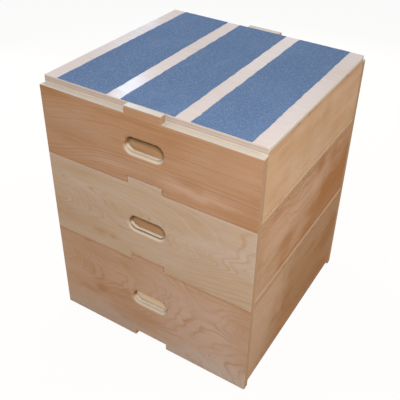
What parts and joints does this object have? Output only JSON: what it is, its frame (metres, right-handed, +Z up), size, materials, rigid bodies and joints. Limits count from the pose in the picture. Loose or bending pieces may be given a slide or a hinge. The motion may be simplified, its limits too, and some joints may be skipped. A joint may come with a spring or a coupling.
{
  "type": "plyo box",
  "caption": "Stacking plywood jump boxes with locking tabs and notches, rounded hand holes and grip strips on top.",
  "frame": {"origin": "centre of the footprint, on the floor that the lower box stands on", "axes": "+X to the right along the front, +Y to the back, +Z up"},
  "size_m": [0.58, 0.575, 0.715],
  "materials": {
    "lower_face_ply": "sealed",
    "lower_side_ply": "sealed",
    "middle_face_ply": "sealed",
    "middle_side_ply": "sealed",
    "upper_face_ply": "sealed",
    "upper_side_ply": "sealed",
    "top_ply": "sealed",
    "batten_wood": "planed",
    "screw_steel": "zinc plated",
    "grip": "matt, gritty"
  },
  "bodies": {
    "lower_box": {"lower_box_front_panel": "lower_face_ply", "lower_box_back_panel": "lower_face_ply", "lower_box_left_panel": "lower_side_ply", "lower_box_right_panel": "lower_side_ply", "lower_box_top_panel": "top_ply", "lower_box_front_ledger": "batten_wood", "lower_box_back_ledger": "batten_wood", "lower_box_left_ledger": "batten_wood", "lower_box_right_ledger": "batten_wood", "lower_box_front_left_block": "batten_wood", "lower_box_front_right_block": "batten_wood", "lower_box_back_left_block": "batten_wood", "lower_box_back_right_block": "batten_wood", "lower_box_block_screws": "screw_steel", "lower_box_ledger_screws": "screw_steel"},
    "middle_box": {"middle_box_front_panel": "middle_face_ply", "middle_box_back_panel": "middle_face_ply", "middle_box_left_panel": "middle_side_ply", "middle_box_right_panel": "middle_side_ply", "middle_box_top_panel": "top_ply", "middle_box_front_ledger": "batten_wood", "middle_box_back_ledger": "batten_wood", "middle_box_left_ledger": "batten_wood", "middle_box_right_ledger": "batten_wood", "middle_box_front_left_block": "batten_wood", "middle_box_front_right_block": "batten_wood", "middle_box_back_left_block": "batten_wood", "middle_box_back_right_block": "batten_wood", "middle_box_block_screws": "screw_steel", "middle_box_ledger_screws": "screw_steel"},
    "upper_box": {"upper_box_front_panel": "upper_face_ply", "upper_box_back_panel": "upper_face_ply", "upper_box_left_panel": "upper_side_ply", "upper_box_right_panel": "upper_side_ply", "upper_box_top_panel": "top_ply", "upper_box_front_ledger": "batten_wood", "upper_box_back_ledger": "batten_wood", "upper_box_left_ledger": "batten_wood", "upper_box_right_ledger": "batten_wood", "upper_box_front_left_block": "batten_wood", "upper_box_front_right_block": "batten_wood", "upper_box_back_left_block": "batten_wood", "upper_box_back_right_block": "batten_wood", "upper_box_block_screws": "screw_steel", "upper_box_ledger_screws": "screw_steel", "left_grip_strip": "grip", "centre_grip_strip": "grip", "right_grip_strip": "grip"}
  },
  "joints": [
    {"name": "middle_box_lift", "type": "slide", "parent": "lower_box", "child": "middle_box", "axis": [0, 0, 1], "range_m": [0, 0.15]},
    {"name": "upper_box_lift", "type": "slide", "parent": "middle_box", "child": "upper_box", "axis": [0, 0, 1], "range_m": [0, 0.15]}
  ]
}
